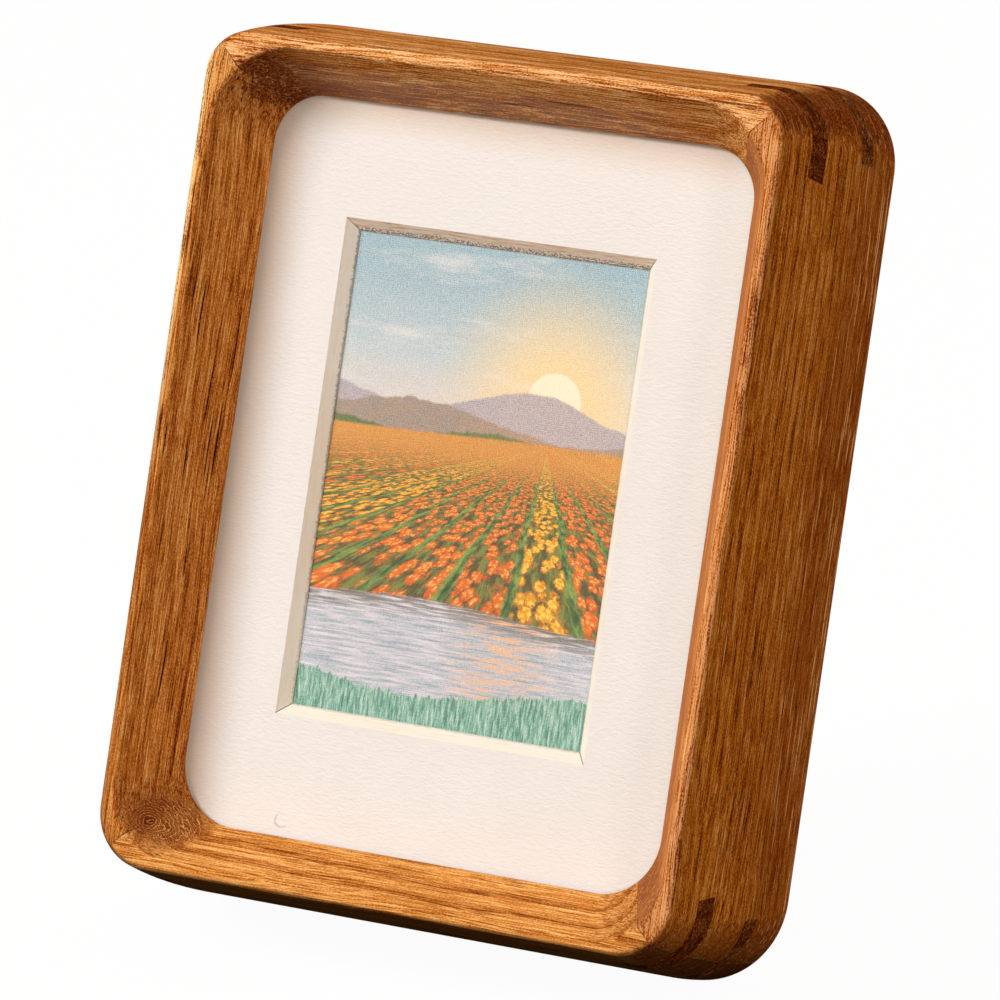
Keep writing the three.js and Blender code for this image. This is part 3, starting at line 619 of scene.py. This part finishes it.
class Landscape(Surface):
    """A printed landscape: rows of flowers that run to low hills, with a canal in front. It is
    painted from the far to the near, in the drawing's millimetres."""

    SUN_X, SUN_Y, SUN_RADIUS = 13, 17, 5
    HORIZON = 9.2
    # Of each ridge of hills, each nearer and stronger than the last: its height, the length, the
    # phase and the size of its wave, how fine its roughness is, and its dark and its light colour
    RIDGES = (
        (15.5, 47, 0.4, 2.6, 9, "a9a3ae", "c9b5ad"),
        (12.2, 61, 2.9, 2.2, 6, "8d8a86", "c79a72"),
        (9.4, 33, 1.1, 0.9, 2.2, "4d6a38", "86894a"),
    )
    DOT_PITCH = 0.38

    def __init__(self, name):
        super().__init__(name, Roughness=0.5, Specular_IOR_Level=0.3)
        self.place = self.drawing_mm()
        self.x, self.y, _ = self.parts(self.place)
        dx, dy = self.x - self.SUN_X, self.y - self.SUN_Y
        self.from_sun = self.math("SQRT", dx * dx + dy * dy)

    def wave(self, length, phase, size):
        return self.math("SINE", self.x * (2 * math.pi / length) + phase) * size

    def rough(self, length, size):
        """Uneven ups and downs along x."""
        return size * (self.noise(self.stretch(self.place, length, 400), 3, 0.6) - 0.5)

    def paint_under(self, line, colour):
        """Paints everything below the line, with a soft edge."""
        self.colour = self.mix(self.step(self.y - line, 0.3, -0.3), self.colour, colour)

    def sky(self):
        """Sky, with a glow where the sun has risen, and thin clouds."""
        haze = self.noise(self.stretch(self.place, 26, 6), 4, 0.6)
        up_sky = self.step(self.y + 9 * (haze - 0.5), 8, 42)
        sky = self.ramp(up_sky, (0.0, "e4d6cc"), (0.4, "c3cdd0"), (1.0, "9fb8c2"))
        sky = self.mix(0.9 * self.step(self.from_sun, 26, 3), sky, rgb("ffdb9a"))
        disc = self.step(self.from_sun, self.SUN_RADIUS + 0.4, self.SUN_RADIUS - 0.1)
        sky = self.mix(disc, sky, rgb("fff2cf"))
        self.colour = self.mix(0.5 * self.step(haze, 0.52, 0.72), sky, rgb("f6ece4"))

    def hills(self):
        for base, length, phase, size, fine, dark, light in self.RIDGES:
            line = base + self.wave(length, phase, size) + self.rough(fine, 0.5 * size + 1.4)
            mottle = self.noise(self.stretch(self.place, 1.6, 0.9), 3, 0.7)
            lit = 0.7 * mottle + 0.3 * self.step(self.from_sun, 22, 6)
            self.paint_under(line, self.mix(lit, rgb(dark), rgb(light)))

    def field(self):
        """The field, in perspective: across and far are distances on the ground."""
        drop = self.math("MAXIMUM", self.HORIZON - self.y, 0.5)
        far = self.math("DIVIDE", 60, drop)
        across = (self.x - self.SUN_X) * far / 9
        ground = self.node("CombineXYZ", {0: across, 1: far * 6.5, 2: 0})
        row = across / 3.2 + 0.5 * self.noise(self.stretch(ground, 9, 16), 1)
        kind = self.node("TexWhiteNoise", {"W": self.math("FLOOR", row)}, noise_dimensions="1D")
        flowers = ((0.2, "f47c12"), (0.42, "ff9f16"), (0.6, "ffc624"), (0.85, "f0700e"))
        petals = self.ramp(kind, *flowers)
        ruffle = self.noise(self.stretch(ground, 0.16, 0.4), 2, 0.6)
        blooms = self.cells(self.stretch(ground, 0.62, 1.5)) + 0.6 * (ruffle - 0.5)
        dabs = self.cells(self.stretch(ground, 0.2, 0.42)) + 0.3 * (ruffle - 0.5)
        petals = self.mix(0.55 * self.step(dabs, 0.55, 0.1), petals, rgb("ffe08a"))
        petals = self.mix(0.5 * self.step(dabs, 0.45, 0.7), petals, rgb("c85a08"))
        petals = self.mix(0.7 * self.step(blooms, 0.4, 0.5), petals, rgb("a84608"))
        stalks = self.noise(self.stretch(ground, 0.5, 3.0), 3, 0.7)
        gaps = self.mix(self.step(stalks, 0.4, 0.62), rgb("36441a"), rgb("76863a"))
        petals = self.mix(0.9 * self.step(blooms, 0.54, 0.6), petals, gaps)
        leaves = self.mix(self.step(stalks, 0.35, 0.65), rgb("2f4a1e"), rgb("86a04a"))
        furrow = self.step(abs(self.math("FRACT", row) - 0.5), 0.37, 0.46)
        field = self.mix(furrow, petals, leaves)
        field = self.mix(0.6 * self.step(drop, 9, 1), field, rgb("f3a34e"))
        self.paint_under(self.HORIZON + self.wave(90, 0.3, 0.5), field)

    def canal(self):
        """The canal, with the sun and the far shore in it."""
        shore = -21 + self.wave(88, 2.2, 1.4) + self.rough(3, 1.1)
        ripple = self.noise(self.stretch(self.place, 7, 0.5), 3, 0.6)
        water = self.ramp(ripple, (0.3, "9aa8ae"), (0.5, "c6c6cf"), (0.7, "eadfe0"))
        glitter = self.step(abs(self.x - 10), 13, 2) * self.step(ripple, 0.46, 0.58)
        water = self.mix(0.75 * glitter, water, rgb("f5b577"))
        mirrored = self.step(self.y - shore, -4.5, 0) * self.step(ripple, 0.66, 0.44)
        self.paint_under(shore, self.mix(0.8 * mirrored, water, rgb("6f5a3c")))

    def bank(self):
        """The near bank, with grass on it."""
        edge = -34.5 + self.wave(70, -0.9, 1.9) + self.rough(1.1, 3.6)
        blades = self.noise(self.stretch(self.place, 0.42, 3.4), 3, 0.7)
        grass = self.ramp(blades, (0.34, "4c7d6c"), (0.5, "7fae99"), (0.68, "c3d9cb"))
        self.paint_under(edge, grass)

    def printed(self):
        """The printer's screen of dots, and the grain of the paper."""
        grain = self.noise(self.stretch(self.place, 0.2, 0.2), 2, 0.7)
        pitch = math.pi / self.DOT_PITCH
        shift = 0.9 * self.noise(self.stretch(self.place, 0.9, 0.9), 1)
        rising = self.math("SINE", (self.x + self.y + shift) * pitch)
        screen = rising * self.math("SINE", (self.x - self.y + shift) * pitch)
        dots = self.step(0.5 + 0.2 * screen + 2.0 * (grain - 0.5), 0.05, 0.95)
        dots = self.mix(dots, rgb("5d5a50"), rgb("ffffff"))
        self.set(Base_Color=self.mix(0.36, self.colour, dots, "OVERLAY"))
        self.bump(grain, 0.01, 0.4)


def print_material():
    picture = Landscape("print_paper")
    picture.sky()
    picture.hills()
    picture.field()
    picture.canal()
    picture.bank()
    picture.printed()
    return picture.material


def board_material(name, dark, light):
    """Pressed hardboard: felted fibres in two browns, polished a little by the press."""
    g = Surface(name, Specular_IOR_Level=0.3)
    place = g.drawing_mm()
    felt = g.noise(g.stretch(place, 0.9, 0.9), 4, 0.75)
    cloud = g.noise(g.stretch(place, 14, 14), 2)
    threads = g.step(g.cells(g.stretch(place, 2.6, 0.3)), 0.3, 0.1)
    crossing = g.step(g.cells(g.stretch(place, 0.3, 2.2)), 0.28, 0.1)
    fibres = g.math("MAXIMUM", threads, crossing)
    tone = 0.5 + 1.5 * (felt - 0.5) + 0.6 * (cloud - 0.5)
    g.set(Base_Color=g.mix(0.4 * fibres, g.ramp(tone, (0.2, dark), (0.85, light)), rgb(light)))
    g.set(Roughness=g.step(felt, 0.3, 0.7, 0.5, 0.68))
    g.bump(felt + 0.5 * fibres, 0.04, 0.6)
    return g.material


def metal_material(name, code, wear_and_highlight, roughness):
    """Plated metal, finely brushed, with a few scratches and a slight tarnish."""
    g = Surface(name, Metallic=1.0)
    place = g.drawing_mm()
    brushing = g.noise(g.stretch(place, 6, 0.07), 2, 0.6)
    tarnish = g.noise(g.stretch(place, 7, 5), 3)
    scratches = g.step(g.cells(g.stretch(place, 4, 0.5)), 0.14, 0.04)
    share = 0.5 + 0.9 * (tarnish - 0.5) + 1.2 * (brushing - 0.5) - 0.3 * scratches
    g.set(Base_Color=g.ramp(share, (0.25, code), (0.8, wear_and_highlight)))
    g.set(Roughness=roughness + 0.14 * brushing + 0.2 * tarnish)
    g.bump(brushing - 0.5 * scratches, 0.005, 0.6)
    return g.material


def card_material(name, dark, light):
    """Plain pulp or soft pale wood, with no gloss."""
    g = Surface(name, Roughness=0.9, Specular_IOR_Level=0.2)
    place = g.drawing_mm()
    pulp = g.noise(g.stretch(place, 0.8, 0.8), 4, 0.7)
    g.set(Base_Color=g.mix(pulp, rgb(dark), rgb(light)))
    g.bump(pulp, 0.03, 0.5)
    return g.material


hardboard = board_material("hardboard", "3d281a", "83634a")
brass = metal_material("brass", "c4a05a", "9c7a42", 0.26)
steel = metal_material("steel", "cfd0d2", "a8aaad", 0.14)
clear = Surface(
    "clear_sheet", Base_Color=rgb("909090"), Roughness=0.04, Alpha=0.04, Specular_IOR_Level=0.5
).material

# --- The wooden ring ----------------------------------------------------------------------------
# A station is a rounded outline of the whole frame: (inset, height, upper radius, lower radius).

back_outer = (0, 0, CORNER_TOP + CORNER_GROWTH, CORNER_BOTTOM + CORNER_GROWTH)
front_outer = (TAPER, DEPTH, CORNER_TOP, CORNER_BOTTOM)
front_inner = (band_inset, DEPTH, BAND_CORNER_TOP, BAND_CORNER_BOTTOM)
wall_foot = (sight_inset, rebate_floor + SIGHT_LAND, SIGHT_CORNER_TOP, SIGHT_CORNER_BOTTOM)
sight_edge = (sight_inset, rebate_floor, SIGHT_CORNER_TOP, SIGHT_CORNER_BOTTOM)
rebate_inner = (REBATE_WALL, rebate_floor, REBATE_CORNER, REBATE_CORNER)
rebate_back = (REBATE_WALL, 0, REBATE_CORNER, REBATE_CORNER)


def blend(a, b, share):
    """What lies that share of the way from a to b, for points and for stations."""
    return tuple(p + (q - p) * share for p, q in zip(a, b))


def steps(count):
    """The shares from 0 to 1 in so many steps."""
    return [index / count for index in range(count + 1)]


def arris(before, corner, after, size):
    """The rounded arris at a corner of the section, between its two neighbours."""
    ends = []
    for neighbour in (before, after):
        run = math.hypot(neighbour[0] - corner[0], neighbour[1] - corner[1])
        ends.append(blend(corner, neighbour, size / run))
    start, end = ends
    return [blend(blend(start, corner, s), blend(corner, end, s), s) for s in steps(ARRIS_STEPS)]


def crowned(side):
    """A station of the outer side, which bulges by CROWN in the middle of the depth."""
    share = side[1] / DEPTH
    return (side[0] - 4 * CROWN * share * (1 - share), *side[1:])


def between(a, b, count):
    """What lies between a and b, in so many steps, without a and b themselves."""
    return [blend(a, b, s) for s in steps(count)[1:-1]]


outer_side = [
    crowned(side)
    for side in arris(rebate_back, back_outer, front_outer, BACK_ARRIS)
    + between(back_outer, front_outer, SIDE_STEPS)
    + arris(back_outer, front_outer, front_inner, FRONT_ARRIS)
]
inner_arris = arris(front_outer, front_inner, wall_foot, INNER_ARRIS)
section = (
    outer_side
    + inner_arris
    + between(inner_arris[-1], wall_foot, WALL_STEPS)
    + [wall_foot, sight_edge, rebate_inner, rebate_back]
)


def new_object(name, verts, faces, matrix=STAND):
    mesh = bpy.data.meshes.new(name)
    mesh.from_pydata([matrix @ (Vector(v) * MM) for v in verts], [], faces)
    mesh.update()
    piece = bpy.data.objects.new(name, mesh)
    bpy.context.scene.collection.objects.link(piece)
    return piece


def rail_line(side, along, out, end_corner, start_corner):
    """One station's outline along a rail, from the mitre at its +X end to the one at its -X end.
    The corners say where the station keeps its radius for that end."""
    inset, z = side[:2]
    ends = []
    for radius, sign in ((side[end_corner], 1), (side[start_corner], -1)):
        centre_x, centre_y = along - inset - radius, out - inset - radius
        mitre = math.pi / 4 + math.asin(MITRE_GAP / 2 / radius)
        arc = []
        for share in steps(CORNER_STEPS // 2):
            angle = mitre + (math.pi / 2 - mitre) * share
            x = sign * (centre_x + radius * math.cos(angle))
            arc.append((x, centre_y + radius * math.sin(angle), z))
        ends.append(arc)
    first, last = ends[0], ends[1][::-1]
    return first + between(first[-1], last[0], LENGTH_STEPS) + last


def strips(rows, count, closed=False):
    """Quads between rows of so many points each. Closed ones also run from a row's last point to
    its first."""
    faces = []
    for row, following in zip(rows, rows[1:]):
        for i in range(count if closed else count - 1):
            j = (i + 1) % count
            here, there = row * count, following * count
            faces.append((here + i, here + j, there + j, there + i))
    return faces


def rail_object(name, quarter):
    along, out = (HEIGHT / 2, WIDTH / 2) if quarter % 2 else (WIDTH / 2, HEIGHT / 2)
    upper, lower = 2, 3  # where a station keeps its upper and its lower radius
    corners = [(upper, upper), (upper, lower), (lower, lower), (lower, upper)][quarter]
    lines = [rail_line(side, along, out, *corners) for side in section]
    rows, count = range(len(lines)), len(lines[0])
    faces = strips([*rows, 0], count)
    faces.append([row * count for row in rows])
    faces.append([row * count + count - 1 for row in reversed(rows)])
    points = [point for line in lines for point in line]
    return new_object(name, points, faces, quarter_turn(quarter))


def key_block(kind, side_x, side_y, margin):
    """The block that a corner's key or its slot fills."""
    thickness, upper, lower = KEYS[kind]
    bite, middle = upper if side_y > 0 else lower
    length = 4 * bite  # well past the corner on its outer side
    bm = bmesh.new()
    bmesh.ops.create_cube(bm, size=1)
    block = new_object("block", [], [])
    bm.to_mesh(block.data)
    bm.free()
    size = Matrix.Diagonal((length, length, thickness + 2 * margin, 1))
    turn = Matrix.Rotation(math.atan2(side_y, side_x), 4, "Z")
    shift = Matrix.Translation((length / 2 - bite - margin, 0, 0))
    corner = Matrix.Translation((side_x * WIDTH / 2, side_y * HEIGHT / 2, middle))
    block.data.transform(STAND @ Matrix.Scale(MM, 4) @ corner @ turn @ shift @ size)
    return block


def boolean(piece, operation, tools):
    """Applies boolean modifiers and removes the tools."""
    for tool in tools:
        modifier = piece.modifiers.new("cut", "BOOLEAN")
        modifier.operation = operation
        modifier.solver = "EXACT"
        modifier.object = tool
    bpy.context.view_layer.update()
    graph = bpy.context.evaluated_depsgraph_get()
    mesh = bpy.data.meshes.new_from_object(piece.evaluated_get(graph))
    piece.modifiers.clear()
    piece.data = mesh
    for tool in tools:
        bpy.data.objects.remove(tool)


def finish_surface(piece, material):
    piece.data.materials.clear()
    piece.data.materials.append(material)
    piece.data.shade_smooth()
    piece.data.set_sharp_from_angle(angle=math.radians(SMOOTH_ANGLE))


CORNERS = {
    "top_right": (1, 1),
    "top_left": (-1, 1),
    "bottom_left": (-1, -1),
    "bottom_right": (1, -1),
}

for quarter, side in enumerate(("top", "left", "bottom", "right")):
    rail = rail_object(f"wood_rail_{side}", quarter)
    slots = [
        key_block(kind, *signs, KEY_GAP)
        for corner, signs in CORNERS.items()
        if side in corner
        for kind in KEYS
    ]
    boolean(rail, "DIFFERENCE", slots)
    finish_surface(rail, rail_woods[side])
    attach(rail, "frame")
    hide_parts(f"rail_{side}")


def envelope(name):
    """The ring's outer form as a solid, from which the keys are cut."""
    loops = []
    for inset, z, top, bottom in outer_side:
        x, y = WIDTH / 2 - inset, HEIGHT / 2 - inset
        centres = ((x - top, y - top, top), (top - x, y - top, top))
        centres += ((bottom - x, bottom - y, bottom), (x - bottom, bottom - y, bottom))
        loops.append(
            [
                (
                    cx + radius * math.cos((turn + share) * math.pi / 2),
                    cy + radius * math.sin((turn + share) * math.pi / 2),
                    z,
                )
                for turn, (cx, cy, radius) in enumerate(centres)
                for share in steps(CORNER_STEPS)
            ]
        )
    points = [point for loop in loops for point in loop]
    count = len(loops[0])
    faces = strips(range(len(loops)), count, closed=True)
    faces.append(list(reversed(range(count))))
    faces.append(list(range(len(points) - count, len(points))))
    return new_object(name, points, faces)


for corner, signs in CORNERS.items():
    # A key's grain runs across its corner.
    grain = STAND @ Matrix.Rotation(math.atan2(signs[1], signs[0]) + math.pi / 2, 4, "Z")
    for kind, colours in KEY_STOPS.items():
        key = envelope(f"wood_key_{corner}_{kind}")
        boolean(key, "INTERSECT", [key_block(kind, *signs, 0)])
        look_name = f"key_wood_{corner}_{kind}"
        finish_surface(key, wood(look_name, grain, colours, KEY_SEED, KEY_PITH, **KEY_LOOK))
        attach(key, "frame")
        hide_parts(f"key_{corner}_{kind}")

# --- The other CAD nodes ------------------------------------------------------------------------

WELD = 0.002  # points closer than this are one
FLAT_ANGLE = 1  # degrees; facets that meet at less are one face
EASED_ANGLE = 40  # degrees; edges that turn more than this are bevelled


def dress(node, material, bevel=0.0, segments=2):
    """Gives a CAD node its material, and eases its edges where bevel gives a width for that."""
    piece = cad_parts[node]
    piece.data.materials.clear()
    piece.data.materials.append(material)
    weld = piece.modifiers.new("weld", "WELD")
    weld.merge_threshold = WELD * MM
    if bevel:
        flat = piece.modifiers.new("flat", "DECIMATE")
        flat.decimate_type = "DISSOLVE"
        flat.angle_limit = math.radians(FLAT_ANGLE)
        ease = piece.modifiers.new("ease", "BEVEL")
        ease.width = bevel * MM
        ease.segments = segments
        ease.limit_method = "ANGLE"
        ease.angle_limit = math.radians(EASED_ANGLE)
        ease.harden_normals = True


dress("mat_board", mat_material())
dress("photo_print", print_material())
dress("glazing", clear)
dress("filler_card", card_material("grey_card", "8c857a", "a8a194"))
spacer_wood = card_material("spacer_wood", "b9976a", "d8bb8e")
for side in ("top", "bottom", "left", "right"):
    dress(f"spacer_{side}", spacer_wood)
dress("backing_board", hardboard, 0.3)
dress("easel_strut", hardboard, 0.35, 3)
for node in ("hinge_bracket", "hinge_leaf"):
    dress(node, brass, 0.12)
rivets = [f"{part}_rivet_{side}" for part in ("bracket", "leaf") for side in ("left", "right")]
for node in ("hinge_pin", *rivets):
    dress(node, steel, 0.1)
for place in ("upper_left", "upper_right", "lower_left", "lower_right"):
    dress(f"turn_button_{place}", brass, 0.25, 3)
    dress(f"button_screw_{place}", steel, 0.08)

# --- Stage and light ----------------------------------------------------------------------------

STAGE_REACH = 4000
STAGE_WHITE = 0.96  # the share of plain white in the stage; the rest takes the frame's shadow
# Of each square lamp: its place and its size in metres, its power and its colour
LAMPS = {
    "key": ((-1.15, -1.0, 1.15), 0.7, 33.5, (1, 1, 1)),
    "fill": ((1.05, -1.3, 0.6), 1.2, 15, (1, 0.92, 0.83)),
    "behind": ((0.4, 1.7, 0.7), 1.0, 12, (1, 1, 1)),
}
SURROUND, SURROUND_STRENGTH = (1, 0.84, 0.69, 1), 0.2


def stage_material():
    """White with a faint shadow where it is seen directly, and dull to everything else."""
    material = bpy.data.materials.new("stage")
    g = Graph(material)
    diffuse = g.node("BsdfDiffuse", {"Color": rgb("ffffff")})
    dull = g.node("BsdfDiffuse", {"Color": (0.04, 0.038, 0.035, 1)})
    white = g.node("Emission", {"Color": rgb("ffffff"), "Strength": 1.0})
    seen = g.node("MixShader", {0: STAGE_WHITE, 1: diffuse, 2: white})
    final = g.node("MixShader", {0: g.shown_directly(), 1: dull, 2: seen})
    g.put(final, g.tree.nodes["Material Output"].inputs["Surface"])
    return material


signs_round = ((-1, -1), (1, -1), (1, 1), (-1, 1))
floor_corners = [(x * STAGE_REACH, y * STAGE_REACH, 0) for x, y in signs_round]
floor = new_object("floor", floor_corners, [(0, 1, 2, 3)], Matrix.Identity(4))
floor.data.materials.append(stage_material())

for name, (place, size, power, colour) in LAMPS.items():
    data = bpy.data.lights.new(name, "AREA")
    data.size = size
    data.energy = power
    data.color = colour
    lamp = bpy.data.objects.new(name, data)
    bpy.context.scene.collection.objects.link(lamp)
    lamp.location = place
    lamp.rotation_mode = "QUATERNION"
    lamp.rotation_quaternion = (front_middle - lamp.location).to_track_quat("-Z", "Y")

# The world: a dim warm surround, and white where it is seen directly
world = bpy.data.worlds.new("world")
bpy.context.scene.world = world
g = Graph(world)
surround = g.tree.nodes["Background"]
surround.inputs["Color"].default_value = SURROUND
surround.inputs["Strength"].default_value = SURROUND_STRENGTH
backdrop = g.node("Background", {"Color": rgb("ffffff"), "Strength": 1})
sky = g.node("MixShader", {0: g.shown_directly(), 1: surround.outputs[0], 2: backdrop})
g.put(sky, g.tree.nodes["World Output"].inputs["Surface"])

bpy.context.scene.view_settings.view_transform = "Standard"
